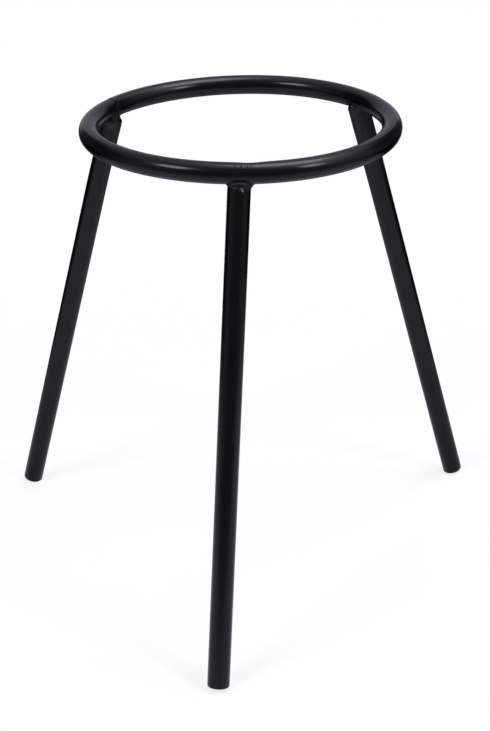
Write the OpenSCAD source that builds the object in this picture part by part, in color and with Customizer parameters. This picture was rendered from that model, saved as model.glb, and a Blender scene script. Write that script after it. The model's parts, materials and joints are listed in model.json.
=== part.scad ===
// Laboratory tripod stand for a flask or a gauze over a burner: one round rod bent to a ring,
// carried on three splayed round rods that are cut square and arc-welded under it.
// Millimetres, +Z up. The origin is on the ring's axis, in the plane that the feet stand on.
// Bearings are degrees from +X. Bearings and turns run anticlockwise, seen from above.

/* [Stand] */
// Height from the bench to the top of the ring
stand_height = 135; // [110:1:180]
// Diameter of the ring, measured to the middle of its rod
ring_diameter = 84; // [76:1:100]

/* [Rods] */
// Diameter of the rod that the ring is bent from
ring_rod = 5.7; // [5.2:0.1:6]
// Diameter of the rod that the legs are cut from
leg_rod = 6.1; // [5.8:0.1:6.6]
// Rounding of each leg's sawn edges
sawn_edge = 0.4; // [0.2:0.05:0.6]

/* [Butt joint of the ring] */
// Bearing at which the ring's rod closes on itself
joint_bearing = 152.5; // [149:0.5:157]
// Gap left between the rod's two ends
joint_gap = 0.2; // [0.1:0.05:0.3]
// Radius of the groove that the two dressed ends leave round the joint
joint_groove = 0.3; // [0.2:0.05:0.4]

/* [Legs as welded: front, right, left] */
// Bearing at which each leg meets the ring
leg_bearing = [-90.5, 36.5, 153]; // [-180:0.5:180]
// How far each leg's axis passes outside the middle of the ring's rod
leg_offset = [0, 0.5, -0.9]; // [-1:0.1:1]
// Lean of each leg from the vertical
leg_lean = [16.2, 15.7, 16.3]; // [12:0.1:20]
// How far each leg's lean is turned from straight outwards
leg_turn = [-11.5, -20, 2.5]; // [-25:0.5:25]
// Root gap between each leg's sawn top and the ring's rod, filled by the weld
root_gap = [0.3, 0.3, 0.3]; // [0.25:0.05:0.5]

/* [Welds] */
// Radius of one ripple of a weld's bead
bead_radius = 0.8; // [0.7:0.05:0.95]
// Half the bead's loop across the ring's rod
bead_across = 2.2; // [2:0.05:2.4]
// Half the bead's loop along the ring's rod
bead_along = 2.85; // [2.7:0.05:3]
// Height of the bead's middle over the leg's top, on either side of the ring's rod
bead_lift = 0.3; // [0.2:0.05:0.5]
// Drop of the bead's middle where it runs down beside the leg
bead_sag = 0.05; // [0:0.05:0.3]
// Number of ripples round a bead
bead_ripples = 20; // [16:1:24]

/* [Hidden] */
$fn = 96;
FRONT = 0;
RIGHT = 1;
LEFT = 2;
paint = [0.13, 0.13, 0.15];
weld_paint = [0.2, 0.2, 0.23];

ring_r = ring_diameter / 2;
rod_r = ring_rod / 2;
leg_r = leg_rod / 2;
ring_z = stand_height - rod_r;

// The root fill lies inside the bead's loop, and the ring's rod rounds off its top.
fill_r = bead_across + 0.15;
fill_height = bead_radius;
// How much a bead swells and shrinks as the welder's hand moves round.
bead_swell = 0.07;
// How far a cutter runs past what it cuts.
overrun = 1;

// Height of the middle of a foot's sawn face when its lowest edge is on the bench.
function foot_rise(i) =
    (leg_r - sawn_edge) * sin(leg_lean[i]) + sawn_edge * (1 - cos(leg_lean[i]));

// Distance along a leg's axis from the ring's level down to the foot's sawn face.
function foot_reach(i) = (ring_z - foot_rise(i)) / cos(leg_lean[i]);

// Distance along a leg's axis from the ring's level down to the leg's sawn top.
function top_reach(i) =
    rod_r + root_gap[i] - leg_offset[i] * sin(leg_lean[i]) * cos(leg_turn[i]);

// Half section of a sawn rod, standing on its end: a bar with both edges broken.
module sawn_rod_section(radius, length) {
    square([radius - sawn_edge, length]);
    translate([0, sawn_edge])
        square([radius, length - 2 * sawn_edge]);
    for (end = [sawn_edge, length - sawn_edge])
        translate([radius - sawn_edge, end])
            circle(sawn_edge);
}

// Frame of one leg: +Z runs up its axis, and the origin is where that axis passes the ring's level.
module on_leg_axis(i) {
    translate([0, 0, ring_z])
        rotate([0, 0, leg_bearing[i]])
            translate([ring_r + leg_offset[i], 0, 0])
                rotate([0, -leg_lean[i], leg_turn[i]])
                    children();
}

// Frame of one weld: on the leg's sawn top, under the middle of the ring's rod, with X across that rod.
module on_leg_top(i) {
    on_leg_axis(i)
        translate([0, 0, -top_reach(i)])
            rotate([0, 0, -leg_turn[i]])
                translate([-leg_offset[i] * cos(leg_lean[i]), 0, 0])
                    children();
}

// The ring before its joint is cut: a full turn of the round rod.
module closed_ring() {
    translate([0, 0, ring_z])
        rotate_extrude()
            translate([ring_r, 0])
                circle(rod_r);
}

// What the butt joint takes out of the ring: a slit between the ends, and the groove round it.
module butt_joint() {
    translate([0, 0, ring_z])
        rotate([0, 0, joint_bearing])
            translate([ring_r, 0, 0])
                rotate([90, 0, 0]) {
                    cylinder(r = rod_r + overrun, h = joint_gap, center = true);
                    rotate_extrude()
                        translate([rod_r, 0])
                            circle(joint_groove);
                }
}

// One leg: a straight rod, sawn square at both ends.
module leg(i) {
    on_leg_axis(i)
        translate([0, 0, -foot_reach(i)])
            rotate_extrude()
                sawn_rod_section(leg_r, foot_reach(i) - top_reach(i));
}

// The bead's ripples round a leg's top: high beside the ring's rod, low beside the leg.
// Each ripple's poles lie along the bead, inside its neighbours, so that only clean bands show.
module bead() {
    for (ripple = [0 : bead_ripples - 1]) {
        turn = 360 * ripple / bead_ripples;
        place = [
            bead_across * cos(turn),
            bead_along * sin(turn),
            bead_lift - (bead_lift + bead_sag) * pow(sin(turn), 2)
        ];
        translate(place)
            rotate([90, 0, turn])
                sphere(bead_radius * (1 + bead_swell * sin(3 * turn)));
    }
}

// One weld: the bead and the root under it, fitted to the ring's rod and the leg.
module weld(i) {
    difference() {
        on_leg_top(i) {
            bead();
            translate([0, 0, -overrun])
                cylinder(r = fill_r, h = fill_height + overrun);
        }
        closed_ring();
        leg(i);
    }
}

module ring() {
    color(paint)
        difference() {
            closed_ring();
            butt_joint();
        }
}

module front_leg() {
    color(paint)
        leg(FRONT);
}

module right_leg() {
    color(paint)
        leg(RIGHT);
}

module left_leg() {
    color(paint)
        leg(LEFT);
}

module front_weld() {
    color(weld_paint)
        weld(FRONT);
}

module right_weld() {
    color(weld_paint)
        weld(RIGHT);
}

module left_weld() {
    color(weld_paint)
        weld(LEFT);
}

ring();
front_leg();
right_leg();
left_leg();
front_weld();
right_weld();
left_weld();
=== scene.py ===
# %% [markdown]
# # A welded laboratory tripod stand
#
# The real stand is five simple things: one round rod bent to a ring, three straight rods sawn to
# length, and the weld metal that joins them. The whole of it was then dipped or sprayed black.
# Each cell below makes one of those things as it would be made in a workshop, and says why.
#
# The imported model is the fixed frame. Every size that follows is measured on it.

# %% Load the frame
import json
import math

import bpy
from mathutils import Matrix, Vector


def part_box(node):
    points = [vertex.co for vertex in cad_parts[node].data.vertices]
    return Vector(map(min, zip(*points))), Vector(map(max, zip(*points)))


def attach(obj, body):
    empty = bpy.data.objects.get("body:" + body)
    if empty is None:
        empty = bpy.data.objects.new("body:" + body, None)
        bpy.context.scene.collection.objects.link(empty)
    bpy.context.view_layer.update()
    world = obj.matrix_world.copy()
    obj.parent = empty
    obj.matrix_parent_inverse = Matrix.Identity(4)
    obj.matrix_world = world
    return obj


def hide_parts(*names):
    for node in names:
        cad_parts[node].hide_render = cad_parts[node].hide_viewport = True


MM = 0.001
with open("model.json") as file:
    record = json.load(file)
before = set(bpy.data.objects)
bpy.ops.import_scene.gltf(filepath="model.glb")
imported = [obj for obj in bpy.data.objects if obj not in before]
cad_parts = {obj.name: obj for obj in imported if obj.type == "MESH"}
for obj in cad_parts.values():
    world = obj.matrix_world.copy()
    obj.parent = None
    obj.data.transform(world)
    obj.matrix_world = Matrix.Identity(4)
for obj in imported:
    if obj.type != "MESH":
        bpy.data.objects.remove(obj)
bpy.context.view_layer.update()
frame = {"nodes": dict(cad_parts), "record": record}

# %% [markdown]
# ## The camera
#
# A long lens from a little above the ring, so that the ring reads as a flat ellipse and the legs
# hardly converge. The camera is turned about its own axes: heading, then tilt, then a slight roll.

# %% Camera
EYE = Vector((0.0, -0.4053, 0.2535))
HEADING = math.radians(0.03)
TILT = math.radians(-25.78)
ROLL = math.radians(-0.89)
LENS_MM = 74.06
RIGHT_ANGLE = math.pi / 2


def new_object(name, data):
    """An object with this data, linked into the scene."""
    made = bpy.data.objects.new(name, data)
    bpy.context.scene.collection.objects.link(made)
    return made


def make_camera():
    data = bpy.data.cameras.new("camera")
    data.lens = LENS_MM
    data.clip_start = 10 * MM
    camera = new_object("camera", data)
    turned = Matrix.Rotation(-HEADING, 4, "Z") @ Matrix.Rotation(RIGHT_ANGLE + TILT, 4, "X")
    camera.matrix_world = Matrix.Translation(EYE) @ turned @ Matrix.Rotation(ROLL, 4, "Z")
    return camera


bpy.context.scene.camera = make_camera()
print("camera at", [round(c, 4) for c in EYE])

# %% [markdown]
# ## Measuring the rods
#
# The ring lies flat, so its box gives the height of its middle, the rod's radius and the ring's
# radius. A leg leans, so it is measured along its own axis. The record states where each foot's
# sawn face is and which way it looks, and the leg runs straight back from there.

# %% Measure the ring and the legs
LEGS = ("front", "right", "left")


def measure_ring():
    low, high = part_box("ring")
    rod = (high.z - low.z) / 2
    return {"rod": rod, "height": (low.z + high.z) / 2, "radius": (high.x - low.x) / 2 - rod}


def measure_leg(side):
    mount = next(m for m in frame["record"]["mounts"] if m["name"] == side + "_foot_end")
    foot = Vector(mount["pos_m"])
    up = -Vector(mount["axis"]).normalized()
    length = 0.0
    radius = 0.0
    for vertex in frame["nodes"][side + "_leg"].data.vertices:
        offset = vertex.co - foot
        along = offset.dot(up)
        length = max(length, along)
        radius = max(radius, (offset - along * up).length)
    return {"foot": foot, "up": up, "length": length, "radius": radius}


ring = measure_ring()
legs = {side: measure_leg(side) for side in LEGS}
print("ring in mm:", {name: round(size / MM, 2) for name, size in ring.items()})
print("legs in mm:", {side: round(leg["length"] / MM, 2) for side, leg in legs.items()})

# %% [markdown]
# ## Formulas made of nodes
#
# The rods and the welds below all follow a rule: a circle, a straight line, a distance. In a node
# tree a rule is a chain of Math nodes. The small class here lets such a chain be written like
# ordinary arithmetic: `a + b` adds one Math node and hands on its output.

# %% A number that lives in a node tree
class Number:
    def __init__(self, socket):
        self.socket = socket

    def __add__(self, other):
        return combine("ADD", self, other)

    def __radd__(self, other):
        return combine("ADD", other, self)

    def __sub__(self, other):
        return combine("SUBTRACT", self, other)

    def __rsub__(self, other):
        return combine("SUBTRACT", other, self)

    def __mul__(self, other):
        return combine("MULTIPLY", self, other)

    def __rmul__(self, other):
        return combine("MULTIPLY", other, self)

    def __truediv__(self, other):
        return combine("DIVIDE", self, other)

    def __rtruediv__(self, other):
        return combine("DIVIDE", other, self)

    def __pow__(self, other):
        return combine("POWER", self, other)

    def __neg__(self):
        return self * -1.0


def feed(socket, value):
    """Link a value that lives in the tree to the socket, or set a plain one on it."""
    if isinstance(value, Number):
        value = value.socket
    if isinstance(value, bpy.types.NodeSocket):
        socket.id_data.links.new(value, socket)
    else:
        socket.default_value = value


def tree_of(values):
    """The tree that the first of the values that are not plain lives in."""
    found = [v.socket if isinstance(v, Number) else v for v in values]
    return next(v.id_data for v in found if isinstance(v, bpy.types.NodeSocket))


def add_node(tree, kind, inputs=None, **settings):
    """One node, with its settings made first and its sockets, by name, after them."""
    node = tree.nodes.new(kind)
    for name, value in settings.items():
        setattr(node, name, value)
    for name, value in (inputs or {}).items():
        feed(node.inputs[name], value)
    return node


def combine(operation, *values):
    """A Math node, such as a sum, a cosine or a smooth minimum."""
    node = add_node(tree_of(values), "ShaderNodeMath", operation=operation)
    for socket, value in zip(node.inputs, values):
        feed(socket, value)
    return Number(node.outputs[0])


print("numbers add, subtract, multiply and divide")

# %% [markdown]
# Places and directions are vectors, with nodes of their own. A smooth step and a window, made of
# two such steps, are the soft switches that most of the shapes and tones below are built with.

# %% Vectors, smooth steps and windows
def combine_vectors(operation, *values):
    """A Vector Math node, such as a dot product or a length."""
    node = add_node(tree_of(values), "ShaderNodeVectorMath", operation=operation)
    for socket, value in zip(node.inputs, values):
        feed(socket, value)
    gives_number = operation in ("DOT_PRODUCT", "LENGTH", "DISTANCE")
    return Number(node.outputs["Value"]) if gives_number else node.outputs["Vector"]


def split(vector):
    node = add_node(tree_of([vector]), "ShaderNodeSeparateXYZ", {"Vector": vector})
    return [Number(socket) for socket in node.outputs]


def join(x, y, z):
    node = add_node(tree_of([x, y, z]), "ShaderNodeCombineXYZ", {"X": x, "Y": y, "Z": z})
    return node.outputs[0]


def all_three(value):
    return join(value, value, value)


def remap(value, low, high, start=0.0, end=1.0):
    """A smooth step: start below low, end above high."""
    names = {"Value": value, "From Min": low, "From Max": high, "To Min": start, "To Max": end}
    node = add_node(tree_of([value]), "ShaderNodeMapRange", names, interpolation_type="SMOOTHSTEP")
    return Number(node.outputs["Result"])


def window(value, low, high, soft):
    """One between low and high, with soft borders."""
    rise = remap(value, low - soft, low + soft)
    return rise * (1.0 - remap(value, high - soft, high + soft))


print("vectors split and join")

# %% [markdown]
# ## From a node tree to a plain piece
#
# Each tree gets named inputs for its sizes. The geometry passes from node to node, and every tree
# ends alike: smooth faces, real meshes in place of instances, and one material.

# %% Begin and end a tree
BAR_SPACE = "bar_space"
SECTION_POINTS = 56
SOCKETS = {
    "number": "NodeSocketFloat",
    "count": "NodeSocketInt",
    "vector": "NodeSocketVector",
    "material": "NodeSocketMaterial",
}


def new_geometry_tree(name, inputs):
    """An empty tree and its input sockets by name. inputs lists the names of each kind."""
    tree = bpy.data.node_groups.new(name, "GeometryNodeTree")
    tree.interface.new_socket("Geometry", in_out="OUTPUT", socket_type="NodeSocketGeometry")
    kinds = {label: kind for kind, labels in inputs.items() for label in labels}
    for label, kind in kinds.items():
        tree.interface.new_socket(label, in_out="INPUT", socket_type=SOCKETS[kind])
    entry = tree.nodes.new("NodeGroupInput")
    given = {}
    for label, kind in kinds.items():
        socket = entry.outputs[label]
        given[label] = Number(socket) if kind in ("number", "count") else socket
    return tree, given


def position_of_points(tree):
    return tree.nodes.new("GeometryNodeInputPosition").outputs[0]


def set_position(tree, geometry, **how):
    """Puts each point at a Position, or moves it by an Offset."""
    return add_node(tree, "GeometryNodeSetPosition", {"Geometry": geometry, **how}).outputs[0]


def sweep(tree, curve, radius, widths=1.0, capped=False):
    """A round section drawn along a curve. widths makes it wider or narrower on the way."""
    round_section = {"Resolution": SECTION_POINTS, "Radius": radius}
    section = add_node(tree, "GeometryNodeCurvePrimitiveCircle", round_section)
    both = {"Curve": curve, "Profile Curve": section.outputs["Curve"]}
    ends = {"Scale": widths, "Fill Caps": capped}
    return add_node(tree, "GeometryNodeCurveToMesh", {**both, **ends}).outputs[0]


def store_bar_space(tree, geometry, vector):
    """Keeps a vector on each point, for the paint to read."""
    store = add_node(
        tree,
        "GeometryNodeStoreNamedAttribute",
        {"Geometry": geometry, "Name": BAR_SPACE},
        data_type="FLOAT_VECTOR",
        domain="POINT",
    )
    feed(next(s for s in store.inputs if s.name == "Value"), vector)
    return store.outputs[0]


def end_tree(tree, geometry, material):
    smooth = add_node(tree, "GeometryNodeSetShadeSmooth", {"Geometry": geometry})
    real = add_node(tree, "GeometryNodeRealizeInstances", {"Geometry": smooth.outputs[0]})
    painted = add_node(
        tree, "GeometryNodeSetMaterial", {"Geometry": real.outputs[0], "Material": material}
    )
    leave = tree.nodes.new("NodeGroupOutput")
    feed(leave.inputs["Geometry"], painted.outputs[0])


print("kinds of input:", ", ".join(SOCKETS))

# %% [markdown]
# A carrier object holds a tree for a moment: its inputs are set, the result is copied out as a
# plain mesh, and the carrier is thrown away. Sweeping can leave a closed mesh inside out, which
# its volume gives away by its sign.

# %% Run a tree, keep the mesh
def run_tree(name, tree, values):
    """The tree's result with these values, as a plain mesh object at the origin."""
    carrier = new_object("carrier", bpy.data.meshes.new("carrier"))
    modifier = carrier.modifiers.new("tree", "NODES")
    modifier.node_group = tree
    for item in tree.interface.items_tree:
        if item.item_type == "SOCKET" and item.in_out == "INPUT":
            modifier[item.identifier] = values[item.name]
    graph = bpy.context.evaluated_depsgraph_get()
    mesh = bpy.data.meshes.new_from_object(carrier.evaluated_get(graph))
    carrier.modifiers.remove(modifier)
    bpy.data.objects.remove(carrier)
    mesh.name = name
    print(name, "has", len(mesh.polygons), "faces")
    return new_object(name, mesh)


def turn_faces_out(piece):
    """Turns a closed mesh the right way round if its faces point inwards."""
    volume = 0.0
    mesh = piece.data
    mesh.calc_loop_triangles()
    for triangle in mesh.loop_triangles:
        a, b, c = (mesh.vertices[i].co for i in triangle.vertices)
        volume += a.dot(b.cross(c))
    if volume < 0:
        mesh.flip_normals()
    return piece


# %% [markdown]
# ## The colour of the paint
#
# Black lacquer is almost all reflection: the colour below it is close to nothing, with a trace of
# blue. What the eye reads as its finish is the thin film, a little lean in gloss, with a faint
# orange peel where it dried and, under it, the fine lines that drawing left along the bar. Those
# lines follow the bar round the bend, so the pattern is laid out in the space that the bar had
# while it was straight. Every piece carries that space as an attribute, in millimetres.

# %% Shader groups: the film of paint, and dust
# Each pattern's scale is in cycles per millimetre, its height in thousandths of a millimetre.
FINE_SCALE = 1.6
FINE_HEIGHT = 0.5
BROAD_SCALE = 0.22
BROAD_HEIGHT = 5.0
DRAWN_SCALE = 3.0
DRAWN_HEIGHT = 0.4
ALONG_THE_BAR = (1.0, 1.0, 0.02)


def new_shader_group(name, inputs, outputs):
    """A shader group with named inputs and outputs, and its inputs by name."""
    group = bpy.data.node_groups.new(name, "ShaderNodeTree")
    for label, start in inputs.items():
        kind = "NodeSocketVector" if isinstance(start, tuple) else "NodeSocketFloat"
        group.interface.new_socket(label, in_out="INPUT", socket_type=kind).default_value = start
    for label in outputs:
        group.interface.new_socket(label, in_out="OUTPUT", socket_type="NodeSocketFloat")
    entry = group.nodes.new("NodeGroupInput")
    return group, {label: entry.outputs[label] for label in inputs}


def end_shader_group(group, results):
    leave = group.nodes.new("NodeGroupOutput")
    for label, value in results.items():
        feed(leave.inputs[label], value)
    return group


def noise(vector, scale, detail=2.0):
    inputs = {"Vector": vector, "Scale": scale, "Detail": detail}
    node = add_node(tree_of([vector]), "ShaderNodeTexNoise", inputs)
    return Number(node.outputs["Fac"])


def build_paint_film():
    """Height of the film in thousandths of a millimetre, and how its thickness wanders."""
    inputs = {"Bar Space": (0.0, 0.0, 0.0), "Peel": 1.0, "Lines": 1.0}
    group, given = new_shader_group("paint film", inputs, ("Height", "Thickness"))
    peel, lines = Number(given["Peel"]), Number(given["Lines"])
    fine = noise(given["Bar Space"], FINE_SCALE)
    broad = noise(given["Bar Space"], BROAD_SCALE, detail=3.0)
    drawn = noise(combine_vectors("MULTIPLY", given["Bar Space"], ALONG_THE_BAR), DRAWN_SCALE)
    height = peel * (fine * FINE_HEIGHT + broad * BROAD_HEIGHT) + lines * drawn * DRAWN_HEIGHT
    return end_shader_group(group, {"Height": height, "Thickness": broad})


def build_dust():
    """Nibs of dust that the paint dried over: sparse round spots, by cells of a few millimetres."""
    inputs = {"Bar Space": (0.0, 0.0, 0.0), "Spacing": 4.0, "Size": 0.1}
    group, given = new_shader_group("dust nibs", inputs, ("Mask",))
    spacing, size = Number(given["Spacing"]), Number(given["Size"])
    layout = {"Vector": given["Bar Space"], "Scale": 1.0 / spacing}
    cells = add_node(group, "ShaderNodeTexVoronoi", layout)
    distance = Number(cells.outputs["Distance"]) * spacing
    mask = 1.0 - remap(distance, size * 0.5, size)
    return end_shader_group(group, {"Mask": mask})


paint_film = build_paint_film()
dust_nibs = build_dust()
print("groups:", paint_film.name, "and", dust_nibs.name)

# %% [markdown]
# The same lacquer lies on rods and welds. On the welds it is duller and its peel is coarser, for
# the metal below it is rough. Where the film is thick it looks a little dustier.

# %% The black paint on rods and welds
PAINT_BLACK = (0.0009, 0.0008, 0.0012)
PAINT_DUSTY = (0.0018, 0.0017, 0.0023)
PAINT_IOR = 1.33
FILM_UNIT = 0.001 * MM
NIB_HEIGHT = 6.0
THIN_AND_THICK = (0.3, 0.7)
GLOSSIER = 0.85
DULLER = 1.15


def new_material(name):
    """A material with an empty tree, and the socket that its surface goes to."""
    material = bpy.data.materials.new(name)
    material.use_nodes = True
    material.node_tree.nodes.clear()
    leave = material.node_tree.nodes.new("ShaderNodeOutputMaterial")
    return material, leave.inputs["Surface"]


def mix_colours(factor, first, second):
    node = add_node(tree_of([factor]), "ShaderNodeMix", data_type="RGBA")
    feed(node.inputs["Factor"], factor)
    for label, value in (("A", first), ("B", second)):
        socket = next(s for s in node.inputs if s.name == label and s.type == "RGBA")
        feed(socket, (*value, 1.0))
    return next(s for s in node.outputs if s.type == "RGBA")


def make_paint(name, roughness, peel, lines, nib_spacing):
    material, surface = new_material(name)
    tree = material.node_tree
    space = add_node(tree, "ShaderNodeAttribute", attribute_name=BAR_SPACE).outputs["Vector"]
    film = add_node(tree, "ShaderNodeGroup", node_tree=paint_film)
    for label, value in (("Bar Space", space), ("Peel", peel), ("Lines", lines)):
        feed(film.inputs[label], value)
    nibs = add_node(tree, "ShaderNodeGroup", node_tree=dust_nibs)
    for label, value in (("Bar Space", space), ("Spacing", nib_spacing)):
        feed(nibs.inputs[label], value)
    thickness = Number(film.outputs["Thickness"])
    height = Number(film.outputs["Height"]) + Number(nibs.outputs["Mask"]) * NIB_HEIGHT
    bump = add_node(tree, "ShaderNodeBump", {"Height": height, "Distance": FILM_UNIT})
    dullness = remap(thickness, *THIN_AND_THICK, roughness * GLOSSIER, roughness * DULLER)
    shader = add_node(
        tree,
        "ShaderNodeBsdfPrincipled",
        {
            "Base Color": mix_colours(thickness, PAINT_BLACK, PAINT_DUSTY),
            "Roughness": dullness,
            "IOR": PAINT_IOR,
            "Normal": bump.outputs["Normal"],
        },
    )
    feed(surface, shader.outputs["BSDF"])
    return material


rod_paint = make_paint("black_paint_rod", roughness=0.2, peel=1.0, lines=0.6, nib_spacing=5.0)
weld_paint = make_paint("black_paint_weld", roughness=0.42, peel=1.6, lines=0.0, nib_spacing=3.0)
print("paints:", rod_paint.name, "and", weld_paint.name)

# %% [markdown]
# ## The ring
#
# A ring like this is bent from one length of bar until its two ends meet, and the joint is only
# butted: a hair of a groove stays open under the paint, and the ends never line up quite true.
# A circle of points, crowded together near the joint where the detail is, is swept with a round
# section. Then every point is nudged along the section's own radius.

# %% Ring tree
RING_INPUTS = {
    "number": (
        "Radius", "Rod", "Height", "Warp", "Warp Bearing", "Joint Bearing", "Groove Depth",
        "Groove Width", "Step Up", "Step Out", "Step Length", "Dent Bearing", "Dent Turn",
        "Dent Depth", "Dent Length", "Waviness",
    ),
    "material": ("Material",),
}
RING_POINTS = 760
CROWDING = 0.92
DENT_SHARPNESS = 6.0
RING_WAVE_SCALE = 0.12


def warped_height(given, bearing):
    """Height of the bar's middle: welding pulls a ring into a slight saddle."""
    turned = (bearing - given["Warp Bearing"]) * 2.0
    return given["Height"] - given["Warp"] * (1.0 - combine("COSINE", turned))


def bell(value, width):
    """One at zero, falling off smoothly over the width on both sides."""
    squeezed = value / width
    return combine("EXPONENT", -(squeezed * squeezed))


def build_ring_tree():
    tree, given = new_geometry_tree("bent ring", RING_INPUTS)
    even_circle = {"Resolution": RING_POINTS, "Radius": given["Radius"]}
    circle = add_node(tree, "GeometryNodeCurvePrimitiveCircle", even_circle)
    index = Number(tree.nodes.new("GeometryNodeInputIndex").outputs[0])
    even = (index + 0.5) / RING_POINTS * math.tau - math.pi
    bearing = even - combine("SINE", even) * CROWDING + given["Joint Bearing"]
    east = combine("COSINE", bearing) * given["Radius"]
    north = combine("SINE", bearing) * given["Radius"]
    place = join(east, north, warped_height(given, bearing))
    crowded = set_position(tree, circle.outputs["Curve"], Position=place)
    shaped = shape_ring(tree, given, sweep(tree, crowded, given["Rod"]))
    end_tree(tree, shaped, given["Material"])
    return tree


def shape_ring(tree, given, geometry):
    """Stores where each point lay in the straight bar, then cuts the joint and presses the dent."""
    x, y, z = split(position_of_points(tree))
    reach = combine("SQRT", x * x + y * y)
    bearing = combine("ARCTAN2", y, x)
    out = reach - given["Radius"]
    up = z - warped_height(given, bearing)
    from_joint = combine("WRAP", bearing - given["Joint Bearing"], math.pi, -math.pi)
    run = from_joint * given["Radius"]
    stored = store_bar_space(tree, geometry, join(out / MM, up / MM, run / MM))
    out = out / given["Rod"]
    up = up / given["Rod"]
    groove = given["Groove Depth"] * bell(run, given["Groove Width"])
    soft = noise(join(x / MM, y / MM, z / MM), RING_WAVE_SCALE, detail=1.0) - 0.5
    swell = soft * given["Waviness"] - groove
    from_dent = combine("WRAP", bearing - given["Dent Bearing"], math.pi, -math.pi)
    pressed_out = combine("COSINE", given["Dent Turn"])
    pressed_up = combine("SINE", given["Dent Turn"])
    facing = combine("MAXIMUM", out * pressed_out + up * pressed_up, 0.0)
    along = bell(from_dent * given["Radius"], given["Dent Length"])
    dent = facing ** DENT_SHARPNESS * along * given["Dent Depth"]
    fade = combine("EXPONENT", -(combine("ABSOLUTE", run) / given["Step Length"]))
    side = combine("SIGN", run) * fade
    outward = out * swell + side * given["Step Out"] - dent * pressed_out
    upward = up * swell + side * given["Step Up"] - dent * pressed_up
    move = join(x / reach * outward, y / reach * outward, upward)
    return set_position(tree, stored, Offset=move)


ring_tree = build_ring_tree()
print("ring tree has", len(ring_tree.nodes), "nodes")

# %% [markdown]
# The left leg stands right under the joint. The welds pulled the ring a little out of its plane,
# and its front has a shallow dent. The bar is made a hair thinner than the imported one, which
# leaves room for its waviness. Bearings run from +X towards +Y. The dent's turn runs from the
# outer side of the bar to its top.

# %% Make the ring
JOINT_BEARING = math.radians(152.5)
WARP = {"Warp": 0.2 * MM, "Warp Bearing": math.radians(51)}
RING_SHY = 0.01 * MM

painted_ring = turn_faces_out(
    run_tree(
        "painted_ring",
        ring_tree,
        {
            **WARP,
            "Radius": ring["radius"],
            "Height": ring["height"],
            "Rod": ring["rod"] - RING_SHY,
            "Joint Bearing": JOINT_BEARING,
            "Groove Depth": 0.7 * MM,
            "Groove Width": 0.15 * MM,
            "Step Up": -0.05 * MM,
            "Step Out": 0.06 * MM,
            "Step Length": 6.0 * MM,
            "Dent Bearing": math.radians(-87),
            "Dent Turn": math.radians(118),
            "Dent Depth": 0.25 * MM,
            "Dent Length": 3.2 * MM,
            "Waviness": 0.02 * MM,
            "Material": rod_paint,
        },
    )
)
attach(painted_ring, "root")
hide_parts("ring")

# %% [markdown]
# ## The legs
#
# Straight drawn bar, sawn square and tumbled just enough to take the burr off. The tree makes a
# closed tube of rings of points. Near both ends the rings crowd together along a quarter circle,
# which is the broken edge, and the flat saw cut closes the bar. The finished bar is then stood on
# its foot and leant over to meet the ring.

# %% Leg tree
LEG_INPUTS = {
    "vector": ("Foot", "Lean", "Drawn In", "Top Skew"),
    "number": ("Length", "Radius", "Edge", "Waviness", "Drawn From", "Drawn To", "Top Swell"),
    "material": ("Material",),
}
EDGE_RINGS = 6
LEG_RINGS = 160
LEG_WAVE_SCALE = 0.1
# Where along the leg its top begins to swell and is at its thickest, as shares of its length.
SWELL_FROM = 0.8
SWELL_TO = 0.97


def build_leg_tree():
    tree, given = new_geometry_tree("sawn leg", LEG_INPUTS)
    line = add_node(tree, "GeometryNodeMeshLine", {"Count": LEG_RINGS + 1})
    curve = add_node(tree, "GeometryNodeMeshToCurve", {"Mesh": line.outputs[0]})
    index = Number(tree.nodes.new("GeometryNodeInputIndex").outputs[0])
    mirrored = combine("MINIMUM", index, LEG_RINGS - index)
    quarter = combine("MINIMUM", mirrored / EDGE_RINGS, 1.0) * RIGHT_ANGLE
    edge = given["Edge"]
    step = (given["Length"] - edge * 2.0) / (LEG_RINGS - 2 * EDGE_RINGS)
    straight = combine("MAXIMUM", mirrored - EDGE_RINGS, 0.0) * step
    inset = edge * (1.0 - combine("COSINE", quarter)) + straight
    is_top = combine("GREATER_THAN", index, LEG_RINGS / 2)
    along = inset + is_top * (given["Length"] - inset * 2.0)
    width = given["Radius"] - edge * (1.0 - combine("SINE", quarter))
    placed = set_position(tree, curve.outputs[0], Position=join(0.0, 0.0, along))
    bar = sweep(tree, placed, 1.0, widths=width, capped=True)
    x, y, z = split(position_of_points(tree))
    stored = store_bar_space(tree, bar, join(x / MM, y / MM, z / MM))
    end_tree(tree, stand_leg(tree, given, stored), given["Material"])
    return tree


def lowered_by_skew(given, place, radius):
    """How much lower than its highest edge a sawn top is at a place, where its cut is skew."""
    slope = combine_vectors("DOT_PRODUCT", place, given["Top Skew"])
    return slope + combine_vectors("LENGTH", given["Top Skew"]) * radius


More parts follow.
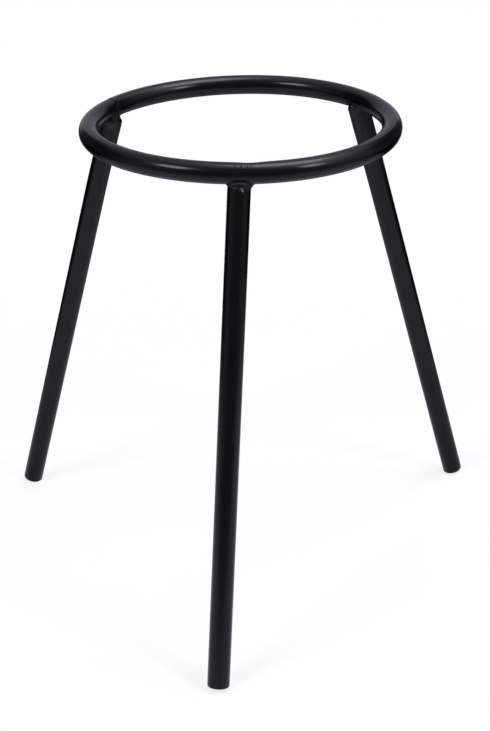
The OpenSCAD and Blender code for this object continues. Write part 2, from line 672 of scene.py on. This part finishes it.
def stand_leg(tree, given, geometry):
    """Skews the top's saw cut, leans the bar, sets it on its foot and draws its top in a little."""
    x, y, z = split(position_of_points(tree))
    soft = noise(join(x / MM, y / MM, z / MM), LEG_WAVE_SCALE, detail=1.0) - 0.5
    swollen = remap(z, given["Length"] * SWELL_FROM, given["Length"] * SWELL_TO)
    swell = (soft * given["Waviness"] + swollen * given["Top Swell"]) / given["Radius"]
    near_top = remap(z, given["Length"] - given["Radius"] * 2.0, given["Length"])
    lowered = lowered_by_skew(given, join(x, y, 0.0), given["Radius"])
    shaped = set_position(tree, geometry, Offset=join(x * swell, y * swell, -(lowered * near_top)))
    turn = add_node(
        tree, "FunctionNodeAlignRotationToVector", {"Vector": given["Lean"]}, axis="Z"
    )
    lean = {"Geometry": shaped, "Translation": given["Foot"], "Rotation": turn.outputs[0]}
    stood = add_node(tree, "GeometryNodeTransform", lean)
    high = split(position_of_points(tree))[2]
    share = remap(high, given["Drawn From"], given["Drawn To"])
    drawn = combine_vectors("MULTIPLY", given["Drawn In"], all_three(share))
    return set_position(tree, stood.outputs[0], Offset=drawn)


leg_tree = build_leg_tree()
print("leg tree has", len(leg_tree.nodes), "nodes")

# %% [markdown]
# No two legs are quite alike. The welds shrank as they cooled and drew the tops inwards, each by a
# fraction of a millimetre. The right leg's top is a little thicker than its bar, as if its end had
# been hammered to fit, and the front leg's was not sawn quite square: it is lower on its outer
# side.

# %% Make the three legs
SAWN_EDGE = 0.4 * MM
LEG_SHY = 0.015 * MM
DRAWN_FROM = 106 * MM
DRAWN_TO = 134 * MM
DRAWN_IN = {
    "front": Vector((0.0, 0.3, 0.0)) * MM,
    "right": Vector((-0.18, 0.0, 0.0)) * MM,
    "left": Vector((0.34, 0.0, 0.0)) * MM,
}
TOP_SWELL = {"front": 0.0, "right": 0.14 * MM, "left": 0.0}
SQUARE_CUT = Vector((0.0, 0.0, 0.0))
TOP_SKEW = {"front": Vector((0.0, -0.1, 0.0)), "right": SQUARE_CUT, "left": SQUARE_CUT}


def flatten_saw_cuts(piece):
    """The two sawn faces are flat, so they take no part in the smooth shading."""
    for face in piece.data.polygons:
        if len(face.vertices) > 4:
            face.use_smooth = False


for side, leg in legs.items():
    painted_leg = turn_faces_out(
        run_tree(
            "painted_" + side + "_leg",
            leg_tree,
            {
                "Foot": leg["foot"],
                "Lean": leg["up"],
                "Length": leg["length"],
                "Radius": leg["radius"] - LEG_SHY,
                "Edge": SAWN_EDGE,
                "Waviness": 0.02 * MM,
                "Drawn In": DRAWN_IN[side],
                "Drawn From": DRAWN_FROM,
                "Drawn To": DRAWN_TO,
                "Top Swell": TOP_SWELL[side],
                "Top Skew": TOP_SKEW[side],
                "Material": rod_paint,
            },
        )
    )
    flatten_saw_cuts(painted_leg)
    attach(painted_leg, "root")
    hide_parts(side + "_leg")

# %% [markdown]
# ## The welds
#
# A weld is a run of molten drops, each frozen over the last, that wets both bars and so meets
# them in a soft hollow. A distance field says that well. It is worked in millimetres around the
# leg's sawn top, and begins with how far a place is outside each of the two bars. Where a weld
# hangs down from the ring, the field takes the ring's underside as if it were stretched
# downwards there.

# %% Distance to the two bars
SUNK = 0.06
SAWN_BLEND = 0.4


def ring_distance(given, place, sag):
    """How far a place is outside the ring's bar, or outside the metal that sags below it."""
    x, y, z = split(combine_vectors("ADD", place, given["Leg Top"]))
    off = combine("SQRT", x * x + y * y) - given["Ring Radius"]
    over = z - given["Ring Height"]
    under = combine("MAXIMUM", -over - sag, 0.0)
    over = combine("MAXIMUM", over, 0.0) + under
    return combine("SQRT", off * off + over * over) - given["Ring Rod"] + SUNK


def leg_distance(given, place):
    """How far a place is outside the leg, whose sawn top is at the origin."""
    above = combine_vectors("DOT_PRODUCT", place, given["Leg Up"])
    on_axis = combine_vectors("MULTIPLY", all_three(above), given["Leg Up"])
    aside = combine_vectors("DISTANCE", place, on_axis) - given["Leg Radius"]
    above = above + lowered_by_skew(given, place, given["Leg Radius"])
    return combine("SMOOTH_MAX", aside, above, SAWN_BLEND) + SUNK


print("the fields lie", SUNK, "mm inside the bars")

# %% [markdown]
# The bead runs round the leg's top as a loop, an ellipse that is longer along the ring's bar than
# across it. Its thickness wanders with the welder's hand, and each frozen drop left a ripple.

# %% Distance to the loop of bead
RIPPLE_SLANT = 2.2
LUMP_SCALE = 0.7


def round_the_leg(given, place):
    """The place in the bead's own directions, and its turn round the leg."""
    from_centre = combine_vectors("SUBTRACT", place, given["Bead Centre"])
    x = combine_vectors("DOT_PRODUCT", from_centre, given["Across"])
    y = combine_vectors("DOT_PRODUCT", from_centre, given["Along"])
    z = combine_vectors("DOT_PRODUCT", from_centre, given["Leg Up"])
    return x, y, z, combine("ARCTAN2", y / given["Bead Along"], x / given["Bead Across"])


def weld_texture(given, place, turn, off_middle):
    """The ripples that each drop left as it froze, and the lumps of an unsteady hand."""
    wave = combine("SINE", turn * given["Ripples"] + off_middle * RIPPLE_SLANT)
    moved = combine_vectors("ADD", place, join(given["Seed"], 0.0, 0.0))
    lump = noise(moved, LUMP_SCALE, detail=1.0) - 0.5
    return wave * given["Ripple Height"] + lump * given["Lumps"]


def bead_distance(given, place):
    """How far a place is outside the loop of bead, with its ripples, swelling and lumps."""
    x, y, z, turn = round_the_leg(given, place)
    sine = combine("SINE", turn)
    middle_x = combine("COSINE", turn) * given["Bead Across"]
    middle_y = sine * given["Bead Along"]
    beside_ring = 1.0 - sine * sine
    off_middle = z - (given["Bead Lift"] + given["Bead Rise"] * beside_ring)
    slumped = join(x, y, off_middle / given["Stretch"])
    apart = combine_vectors("DISTANCE", slumped, join(middle_x, middle_y, 0.0))
    heavy_side = combine("COSINE", turn - given["Heavy Turn"])
    heavy = beside_ring * given["Belly"] + heavy_side * given["Heavy By"]
    return apart - given["Bead Radius"] - heavy - weld_texture(given, place, turn, off_middle)


print("lumps repeat about every", round(1 / LUMP_SCALE, 1), "mm")

# %% [markdown]
# The three distances are blended with a smooth minimum, and the surface where the blend is zero
# is the weld. Root metal fills the corner between the bars, and no two welds are alike: each has
# a heavy side, where the welder stayed longest. Away from the bead the field dips just under the
# bars' paint, so the weld fades into them. A Volume Cube samples the field, and Volume to Mesh
# finds its surface.

# %% Weld tree
WELD_INPUTS = {
    "vector": ("Leg Top", "Leg Up", "Top Skew", "Across", "Along", "Bead Centre"),
    "number": (
        "Ring Radius", "Ring Height", "Ring Rod", "Leg Radius", "Bead Radius", "Bead Across",
        "Bead Along", "Bead Lift", "Bead Rise", "Stretch", "Belly", "Heavy Turn", "Heavy By",
        "Wetting", "Wetting Uneven", "Fill Across", "Fill Along", "Fill Uneven", "Fill Outside",
        "Sag", "Ripples", "Ripple Height", "Lumps", "Seed", "Reach",
    ),
    "material": ("Material",),
}
VOXELS = 140
TOE_BLEND = 0.4
RIM_BLEND = 0.6
LOBE_SHARPNESS = 6.0


def lobe(cosine):
    """One where the cosine is one, and fading soon to nothing on both sides of it."""
    return combine("MAXIMUM", cosine, 0.0) ** LOBE_SHARPNESS


def weld_field(given, place):
    turn = round_the_leg(given, place)[3]
    heavy_side = combine("COSINE", turn - given["Heavy Turn"])
    heavy = lobe(heavy_side)
    off_ring = ring_distance(given, place, heavy * given["Sag"])
    off_leg = leg_distance(given, place)
    hollow = given["Wetting"] + heavy_side * given["Wetting Uneven"]
    bars = combine("SMOOTH_MIN", off_ring, off_leg, hollow)
    along = combine("SINE", turn) ** 2.0
    fill = given["Fill Across"] * (1.0 - along) + given["Fill Along"] * along
    outside = lobe(combine("COSINE", turn)) * given["Fill Outside"]
    depth = fill + heavy * given["Fill Uneven"] + outside + weld_texture(given, place, turn, 0.0)
    fillet = (off_ring + off_leg) * math.sqrt(0.5) - depth
    filled = combine("SMOOTH_MIN", bars, fillet, TOE_BLEND)
    metal = combine("SMOOTH_MIN", filled, bead_distance(given, place), TOE_BLEND)
    rim = combine_vectors("LENGTH", place) - (given["Reach"] - RIM_BLEND)
    return combine("SMOOTH_MAX", metal, rim, RIM_BLEND)


def build_weld_tree():
    tree, given = new_geometry_tree("weld", WELD_INPUTS)
    place = position_of_points(tree)
    volume = add_node(
        tree,
        "GeometryNodeVolumeCube",
        {
            "Density": -weld_field(given, place),
            "Background": -1.0,
            "Min": all_three(-given["Reach"]),
            "Max": all_three(given["Reach"]),
            "Resolution X": VOXELS,
            "Resolution Y": VOXELS,
            "Resolution Z": VOXELS,
        },
    )
    zero_level = {"Volume": volume.outputs[0], "Threshold": 0.0}
    surface = add_node(tree, "GeometryNodeVolumeToMesh", zero_level)
    in_metres = {
        "Geometry": store_bar_space(tree, surface.outputs[0], place),
        "Translation": combine_vectors("MULTIPLY", given["Leg Top"], (MM, MM, MM)),
        "Scale": (MM, MM, MM),
    }
    sized = add_node(tree, "GeometryNodeTransform", in_metres)
    end_tree(tree, sized.outputs[0], given["Material"])
    return tree


weld_tree = build_weld_tree()
print("weld tree has", len(weld_tree.nodes), "nodes")

# %% [markdown]
# The welder's habits, joint by joint. The front weld is a smooth, full bead in a wide hollow. The
# two at the back were hard to reach: they are lumpy, and sag on their heavy side.

# %% Make the three welds
# Each habit has a value for every leg, in the order of LEGS. Lengths are in millimetres. Turns are
# in radians round the leg, from the outer side of the ring.
WELD_HABITS = {
    # The loop of bead: half its size across and along the ring's bar, and its thickness.
    "Bead Across": (1.85, 1.9, 2.3),
    "Bead Along": (2.75, 2.2, 2.5),
    "Bead Radius": (0.55, 0.7, 0.7),
    # Its height over the sawn top, its rise beside the ring's bar, and its slump.
    "Bead Lift": (0.0, 0.1, 0.1),
    "Bead Rise": (0.0, 0.1, 0.2),
    "Stretch": (1.0, 1.2, 1.1),
    # How much fuller it is beside the ring's bar.
    "Belly": (0.35, 0.0, 0.2),
    # Where the heavy side is, and how much fuller the bead is there.
    "Heavy Turn": (1.57, -2.85, 2.35),
    "Heavy By": (0.1, 0.0, 0.0),
    # The hollow in which the metal meets the bars, and how much wider it is on the heavy side.
    "Wetting": (1.9, 1.6, 1.6),
    "Wetting Uneven": (0.8, 0.0, 0.0),
    # Root metal in the corner between the bars, and what the heavy and the outer side have more.
    "Fill Across": (1.05, 0.45, 0.3),
    "Fill Along": (0.2, 0.3, 0.3),
    "Fill Uneven": (0.0, 1.25, 1.35),
    "Fill Outside": (0.0, 0.7, 0.6),
    # How far metal hangs from the ring's underside on the heavy side.
    "Sag": (0.0, 0.7, 1.0),
    "Ripple Height": (0.0, 0.012, 0.03),
    "Lumps": (0.05, 0.5, 0.6),
    "Seed": (3.0, 11.0, 27.0),
}
RIPPLES = 22.0
WELD_REACH = 5.6


def local_height(bearing):
    """Height of the ring's bar at a bearing, with its warp, as warped_height has it in the tree."""
    turned = 2.0 * (bearing - WARP["Warp Bearing"])
    return ring["height"] - WARP["Warp"] * (1.0 - math.cos(turned))


def weld_frame(leg, drawn_in):
    """Where the weld is and which way it lies, in millimetres about the leg's sawn top."""
    top = leg["foot"] + leg["up"] * leg["length"] + drawn_in
    out = Vector((top.x, top.y, 0.0)).normalized()
    across = (out - out.dot(leg["up"]) * leg["up"]).normalized()
    height = local_height(math.atan2(top.y, top.x))
    under_ring = out * ring["radius"] + Vector((0.0, 0.0, height))
    centre = (under_ring - top).dot(across) * across
    return {
        "Leg Top": top / MM,
        "Leg Up": leg["up"],
        "Across": across,
        "Along": leg["up"].cross(across),
        "Bead Centre": centre / MM,
        "Ring Radius": ring["radius"] / MM,
        "Ring Height": height / MM,
        "Ring Rod": ring["rod"] / MM,
        "Leg Radius": leg["radius"] / MM,
    }


for number, side in enumerate(LEGS):
    values = {
        **{habit: by_leg[number] for habit, by_leg in WELD_HABITS.items()},
        **weld_frame(legs[side], DRAWN_IN[side]),
        "Top Skew": TOP_SKEW[side],
        "Ripples": RIPPLES,
        "Reach": WELD_REACH,
        "Material": weld_paint,
    }
    painted_weld = turn_faces_out(run_tree("painted_" + side + "_weld", weld_tree, values))
    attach(painted_weld, "root")
    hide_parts(side + "_weld")

# %% [markdown]
# ## Spatter
#
# An arc throws off small drops of metal that freeze where they land. Nobody chipped them off
# before painting, so each joint has a few under its paint. The tree lays drops at random around
# one place on a bar. They are sunk to about half, and flattened.

# %% Spatter tree
SPATTER_INPUTS = {
    "vector": ("Middle",),
    "number": (
        "Bearing", "Turn", "Spread Along", "Spread Around", "Radius", "Rod", "Drop", "Smallest",
        "Slump", "Flatness",
    ),
    "count": ("Count", "Seed"),
    "material": ("Material",),
}
DROP_FACES = 4


def random_number(tree, low, high, seed, salt):
    node = add_node(tree, "FunctionNodeRandomValue", data_type="FLOAT")
    for name, value in (("Min", low), ("Max", high)):
        feed(next(s for s in node.inputs if s.name == name and s.type == "VALUE"), value)
    feed(node.inputs["Seed"], seed + salt)
    return Number(next(s for s in node.outputs if s.type == "VALUE"))


def aligned(tree, inputs, axis, pivot):
    """A rotation that turns an axis of the drop along a vector, about a pivot."""
    settings = {"axis": axis, "pivot_axis": pivot}
    return add_node(tree, "FunctionNodeAlignRotationToVector", inputs, **settings).outputs[0]


def build_spatter_tree():
    tree, given = new_geometry_tree("spatter", SPATTER_INPUTS)
    points = add_node(tree, "GeometryNodePoints", {"Count": given["Count"]})
    seed = given["Seed"]
    along = random_number(tree, -1.0, 1.0, seed, 0)
    around = random_number(tree, -1.0, 1.0, seed, 1)
    size = random_number(tree, given["Smallest"], 1.0, seed, 2) * given["Drop"]
    bearing = given["Bearing"] + along * given["Spread Along"] / given["Radius"]
    turn = given["Turn"] + around * given["Spread Around"] / given["Rod"]
    east, north = combine("COSINE", bearing), combine("SINE", bearing)
    flat, steep = combine("COSINE", turn), combine("SINE", turn)
    reach = given["Radius"] + flat * given["Rod"]
    off_middle = join(east * reach, north * reach, steep * given["Rod"])
    place = combine_vectors("ADD", given["Middle"], off_middle)
    placed = set_position(tree, points.outputs[0], Position=place)
    turned = aligned(tree, {"Vector": join(-north, east, 0.0)}, "X", "AUTO")
    facing = join(east * flat, north * flat, steep)
    turned = aligned(tree, {"Rotation": turned, "Vector": facing}, "Z", "X")
    drop = add_node(tree, "GeometryNodeMeshIcoSphere", {"Radius": 1.0, "Subdivisions": DROP_FACES})
    laid = add_node(
        tree,
        "GeometryNodeInstanceOnPoints",
        {
            "Points": placed,
            "Instance": drop.outputs["Mesh"],
            "Rotation": turned,
            "Scale": join(size, size * given["Slump"], size * given["Flatness"]),
        },
    )
    real = add_node(tree, "GeometryNodeRealizeInstances", {"Geometry": laid.outputs[0]})
    spot = combine_vectors("MULTIPLY", position_of_points(tree), (1 / MM, 1 / MM, 1 / MM))
    end_tree(tree, store_bar_space(tree, real.outputs[0], spot), given["Material"])
    return tree


spatter_tree = build_spatter_tree()
print("spatter tree has", len(spatter_tree.nodes), "nodes")

# %% [markdown]
# Over the front leg four drops ran down the ring's front before they froze. A few small ones lie
# by the joints at the back, and one lies on the back of the ring. A larger one froze on the front
# leg, just under its weld: for it the circle and the bar are shrunk to a point, so that its middle
# alone places it, and its bearing and turn only say which way it faces.

# %% Scatter the drops
RING_SINK = 0.03 * MM
RUN_SINK = 0.1 * MM
POINT = 0.01 * MM
FRONT_RUN = {"Count": 1, "Turn": math.radians(54), "Drop": 0.46 * MM, "Slump": 1.7,
             "Flatness": 0.4, "Smallest": 1.0, "Rod": ring["rod"] - RUN_SINK}
SPATTER = {
    "front_run_a": {**FRONT_RUN, "Bearing": math.radians(-91.8), "Drop": 0.4 * MM},
    "front_run_b": {**FRONT_RUN, "Bearing": math.radians(-89.6), "Drop": 0.52 * MM},
    "front_run_c": {**FRONT_RUN, "Bearing": math.radians(-87.7)},
    "front_run_d": {**FRONT_RUN, "Bearing": math.radians(-86.4), "Drop": 0.4 * MM},
    "left_drops": {"Count": 4, "Bearing": math.radians(147.5), "Turn": math.radians(114),
                   "Spread Along": 1.6 * MM, "Spread Around": 0.8 * MM, "Drop": 0.2 * MM,
                   "Seed": 9},
    "right_drops": {"Count": 3, "Bearing": math.radians(38), "Turn": math.radians(165),
                    "Spread Along": 3.0 * MM, "Spread Around": 1.0 * MM, "Drop": 0.18 * MM,
                    "Seed": 2},
    "back_drop": {"Count": 1, "Bearing": math.radians(76), "Turn": math.radians(120),
                  "Drop": 0.35 * MM, "Smallest": 1.0},
    "leg_drop": {"Count": 1, "Bearing": math.radians(-60), "Turn": math.radians(31),
                 "Middle": Vector((0.28, -45.88, 128.5)) * MM, "Radius": POINT,
                 "Rod": POINT, "Drop": 0.95 * MM, "Smallest": 1.0, "Flatness": 0.3},
}


def lay_drops(name, chosen):
    usual = {
        "Middle": (0.0, 0.0, local_height(chosen["Bearing"])),
        "Radius": ring["radius"],
        "Rod": ring["rod"] - RING_SINK,
        "Spread Along": 0.0,
        "Spread Around": 0.0,
        "Smallest": 0.5,
        "Slump": 1.0,
        "Flatness": 0.5,
        "Seed": 5,
        "Material": rod_paint,
    }
    drops = run_tree(name, spatter_tree, {**usual, **chosen})
    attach(drops, "root")


for name, chosen in SPATTER.items():
    lay_drops(name, chosen)

# %% [markdown]
# ## The table and the room
#
# Black lacquer shows the room more than itself, so the room is part of the finish. The table is
# pale and keeps the stand's soft shadow. Towards its rim it turns into plain white, which is also
# what the camera meets beyond it. The bars reflect it as white only near the stand: it grows dark
# towards the wall, the front and the sides, apart from a lighter patch at the back on each side.
#
# Two low black flags stand behind the stand, left and right, so near that each place on the ring
# sees the gap between them in another direction. They aren't modelled. A reflected ray that ends
# on the table is traced back to the upright plane that they stand in, and where it crossed that
# plane tells whether a flag hides the table.

# %% What the bars see of the table
ROOM_TINT = (1.03, 1.0, 1.17)
# How light the table is by the stand. Then where, in metres, it starts and ends to grow darker,
# and by how much.
TABLE_TONE = 0.88
BACK_FADE = (-0.08, 0.27)
BACK_LOSS = 0.84
BACK_CURVE_FROM = 0.05
BACK_CURVE = 0.3
FRONT_FADE = (0.12, 0.45)
FRONT_LOSS = 0.65
SIDE_FADE = (0.3, 0.65)
SIDE_LOSS = 0.5
# The patches: from left to right, from the front, and how light they are.
PATCH_EDGE = 0.03
RIGHT_PATCH = ((0.1, 0.28), (0.2, 0.4), 0.34)
LEFT_PATCH = ((-0.24, -0.08), (0.17, 0.27), 0.26)
FLAGS_AWAY = 0.1
FLAGS_APART = (-0.085, 0.09)
FLAGS_EDGE = 0.012
FLAG_FADE = (0.09, 0.16)
FLAG_DENSITY = 0.85
# The least part of a ray that runs across the room, so that a ray along the flags stays finite.
LEAST_ACROSS = 0.02


def room_light(strength):
    """The glow that reflections find on the things in the room."""
    tinted = {"Color": (*ROOM_TINT, 1.0), "Strength": strength}
    return add_node(tree_of([strength]), "ShaderNodeEmission", tinted).outputs[0]


def crossing(place, away):
    """Where, from left to right, the ray that ends at a place crossed an upright plane."""
    incoming = tree_of([place]).nodes.new("ShaderNodeNewGeometry").outputs["Incoming"]
    x, y, _ = split(place)
    back_x, back_y, _ = split(incoming)
    return x + back_x * (y - away) / combine("MAXIMUM", -back_y, LEAST_ACROSS)


def reflected_table_tone(place):
    """How light the lacquer finds the table at a place."""
    x, y, _ = split(place)
    aside = combine("ABSOLUTE", x)
    back = y + combine("MAXIMUM", aside - BACK_CURVE_FROM, 0.0) * BACK_CURVE
    tone = TABLE_TONE - remap(back, *BACK_FADE) * BACK_LOSS
    tone = tone * (1.0 - remap(-y, *FRONT_FADE) * FRONT_LOSS)
    tone = tone * (1.0 - remap(aside, *SIDE_FADE) * SIDE_LOSS)
    for span, rise, light in (RIGHT_PATCH, LEFT_PATCH):
        tone = tone + window(x, *span, PATCH_EDGE) * remap(y, *rise) * light
    between = window(crossing(place, FLAGS_AWAY), *FLAGS_APART, FLAGS_EDGE)
    hidden = remap(y, *FLAG_FADE) * (1.0 - between)
    return tone * (1.0 - hidden * FLAG_DENSITY)


print("the table by the stand reflects with a strength of", TABLE_TONE)

# %% [markdown]
# The camera and the diffuse light find a plain matt table with a faint glow of its own, which
# lifts it to white but for the shadows. A Light Path node tells the rays apart.

# %% Pale table
TABLE_CENTRE = (0.0, -0.1, 0.0)
TABLE_RADIUS = 0.9
WHITE_RIM = (0.2, 0.31)
TABLE_COLOUR = (0.32, 0.32, 0.32)
TABLE_GLOW = 0.785
RIM_POINTS = 128


def seen_directly(tree):
    """One for rays from the camera, and for those that a gloss or a glass sends on."""
    path = tree.nodes.new("ShaderNodeLightPath")
    seen = combine("MAXIMUM", Number(path.outputs["Is Camera Ray"]), path.outputs["Is Glossy Ray"])
    return combine("MAXIMUM", seen, path.outputs["Is Transmission Ray"])


def add_shaders(first, second):
    node = tree_of([first]).nodes.new("ShaderNodeAddShader")
    feed(node.inputs[0], first)
    feed(node.inputs[1], second)
    return node.outputs[0]


def mix_shaders(factor, first, second):
    node = add_node(tree_of([factor]), "ShaderNodeMixShader", {"Fac": factor})
    feed(node.inputs[1], first)
    feed(node.inputs[2], second)
    return node.outputs[0]


def make_table_material():
    material, surface = new_material("pale_table")
    tree = material.node_tree
    place = tree.nodes.new("ShaderNodeTexCoord").outputs["Object"]
    seen = seen_directly(tree)
    matt = add_node(tree, "ShaderNodeBsdfDiffuse", {"Color": (*TABLE_COLOUR, 1.0)})
    faint = add_node(tree, "ShaderNodeEmission", {"Strength": seen * TABLE_GLOW})
    lit = add_shaders(matt.outputs[0], faint.outputs[0])
    white = add_node(tree, "ShaderNodeEmission", {"Strength": seen})
    whiteness = remap(combine_vectors("DISTANCE", place, TABLE_CENTRE), *WHITE_RIM)
    looked_at = mix_shaders(whiteness * seen, lit, white.outputs[0])
    reflected = room_light(reflected_table_tone(place))
    glossy = tree.nodes.new("ShaderNodeLightPath").outputs["Is Glossy Ray"]
    feed(surface, mix_shaders(glossy, looked_at, reflected))
    return material


def make_table():
    rim = []
    for point in range(RIM_POINTS):
        turn = math.tau * point / RIM_POINTS
        off = Vector((math.cos(turn), math.sin(turn), 0.0)) * TABLE_RADIUS
        rim.append(Vector(TABLE_CENTRE) + off)
    mesh = bpy.data.meshes.new("table")
    mesh.from_pydata(rim, [], [list(range(RIM_POINTS))])
    mesh.materials.append(make_table_material())
    table = new_object("table", mesh)


make_table()
print("table radius in mm:", TABLE_RADIUS / MM)

# %% [markdown]
# ## Soft boxes
#
# Three soft boxes draw the long streaks on the ring: a large one overhead, a little to the right,
# and two smaller ones at the front, left and right. Each is placed by the direction in which the
# ring sees it, and its power follows from its brightness and its area.

# %% Lamps
SOFT_BOXES = {
    # name: heading from +Y towards +X, elevation, distance, width, height, brightness, colour
    "overhead": (66, 75, 1.1, 0.52, 0.62, 4.9, (0.97, 0.95, 1.12)),
    "front_right": (124, 37, 1.1, 0.22, 0.30, 11.0, (1.0, 0.99, 1.03)),
    "front_left": (-127, 38, 1.1, 0.36, 0.32, 9.5, (1.0, 1.0, 1.0)),
}
RING_MIDDLE = Vector((0.0, 0.0, ring["height"]))


def direction(heading_deg, elevation_deg):
    heading = math.radians(heading_deg)
    elevation = math.radians(elevation_deg)
    flat = math.cos(elevation)
    return Vector((math.sin(heading) * flat, math.cos(heading) * flat, math.sin(elevation)))


def make_soft_box(name, heading, elevation, distance, width, height, brightness, colour):
    data = bpy.data.lights.new(name, "AREA")
    data.shape = "RECTANGLE"
    data.size = width
    data.size_y = height
    data.energy = brightness * math.pi * width * height
    data.color = colour
    lamp = new_object(name, data)
    towards = direction(heading, elevation)
    lamp.location = RING_MIDDLE + towards * distance
    lamp.rotation_mode = "QUATERNION"
    lamp.rotation_quaternion = towards.to_track_quat("Z", "Y")
    lamp.visible_camera = False


for name, facts in SOFT_BOXES.items():
    make_soft_box(name, *facts)
print("soft boxes:", ", ".join(SOFT_BOXES))

# %% [markdown]
# ## What the lacquer sees of the room
#
# The far room is dark behind the stand, paler beside it and in front of it, and grey overhead,
# with a halo round the large lamp. A dome around the stand carries these tones. Only reflections
# meet it: the camera looks through it, and it lights nothing.
#
# A pale wall stands close behind the stand. It isn't modelled either: a reflected ray that ends
# on the dome is traced back to the wall's plane, in the same way as for the flags.

# %% Dome
DOME_RADIUS = 2.0
BLACK_TONE = 0.05
# Each tone comes in over a span of degrees: headings from +Y towards +X, or elevations.
LEFT_SIDE = (70.0, 108.0)
RIGHT_SIDE = (52.0, 98.0)
SIDE_TONE = 0.36
FRONT_SIDE = (122.0, 150.0)
FRONT_TONE = 0.22
CEILING_RISE = (27.0, 52.0)
CEILING_TONE = 0.62
CEILING_FRONT_LOSS = 0.6
HALO_FADE = (14.0, 52.0)
HALO_TONE = 1.5
WASH_SPAN = (80.0, 125.0)
WASH_EDGE = 16.0
WASH_RISE = (0.0, 50.0)
WASH_TONE = 0.85
# The wall: metres behind the ring's middle and from left to right, then degrees of elevation.
WALL_TONE = 0.45
WALL_AWAY = 0.255
WALL_DEPTH = 0.01
WALL_SPAN = (-0.178, 0.145)
WALL_EDGE = 0.014
WALL_RISE = (-6.0, 70.0)
WALL_RISE_EDGE = 2.5


def degrees(radians):
    return radians * math.degrees(1.0)


def seen_from_ring(place):
    """The direction in which the middle of the ring sees a place."""
    return combine_vectors("NORMALIZE", combine_vectors("SUBTRACT", place, RING_MIDDLE))


def wall_mask(place):
    """One where the ray that ends at this place on the dome crossed the pale wall on its way."""
    _, y, _ = split(place)
    beyond = remap(y, WALL_AWAY, WALL_AWAY + WALL_DEPTH)
    return window(crossing(place, WALL_AWAY), *WALL_SPAN, WALL_EDGE) * beyond


def room_tone(towards, place):
    """The tone of the room in a direction: sides, front, wall, ceiling, and light by the lamps."""
    x, y, z = split(towards)
    heading = degrees(combine("ARCTAN2", x, y))
    elevation = degrees(combine("ARCSINE", z))
    sides = remap(-heading, *LEFT_SIDE) + remap(heading, *RIGHT_SIDE)
    front = remap(combine("ABSOLUTE", heading), *FRONT_SIDE)
    tone = BLACK_TONE + sides * SIDE_TONE
    tone = tone + front * (FRONT_TONE - tone)
    wall = wall_mask(place) * window(elevation, *WALL_RISE, WALL_RISE_EDGE)
    tone = tone + wall * (WALL_TONE - tone)
    ceiling = remap(elevation, *CEILING_RISE) * (1.0 - front * CEILING_FRONT_LOSS)
    tone = tone + ceiling * (CEILING_TONE - tone)
    overhead = direction(*SOFT_BOXES["overhead"][:2])
    apart = degrees(combine("ARCCOSINE", combine_vectors("DOT_PRODUCT", towards, overhead)))
    halo = 1.0 - remap(apart, *HALO_FADE)
    wash = window(heading, *WASH_SPAN, WASH_EDGE) * remap(elevation, *WASH_RISE)
    return tone + halo * halo * HALO_TONE + wash * WASH_TONE


def make_dome():
    material, surface = new_material("room")
    place = material.node_tree.nodes.new("ShaderNodeTexCoord").outputs["Object"]
    feed(surface, room_light(room_tone(seen_from_ring(place), place)))
    bpy.ops.mesh.primitive_uv_sphere_add(segments=48, ring_count=24, radius=DOME_RADIUS)
    dome = bpy.context.object
    dome.name = "room_dome"
    dome.data.materials.append(material)
    dome.visible_camera = False
    dome.visible_diffuse = False
    dome.visible_transmission = False
    dome.visible_shadow = False


make_dome()
print("dome radius in mm:", DOME_RADIUS / MM)

# %% [markdown]
# ## The white beyond
#
# The world is plain white to the camera, and a dim even light to everything else. The Standard
# view keeps that white as it is.

# %% World
AMBIENT = 0.15


def make_world():
    world = bpy.data.worlds.new("world")
    bpy.context.scene.world = world
    world.use_nodes = True
    tree = world.node_tree
    tree.nodes.clear()
    strength = AMBIENT + seen_directly(tree) * (1.0 - AMBIENT)
    even_white = {"Color": (1.0, 1.0, 1.0, 1.0), "Strength": strength}
    white = add_node(tree, "ShaderNodeBackground", even_white)
    leave = tree.nodes.new("ShaderNodeOutputWorld")
    feed(leave.inputs["Surface"], white.outputs[0])


make_world()
bpy.context.scene.view_settings.view_transform = "Standard"
print("ambient light:", AMBIENT)
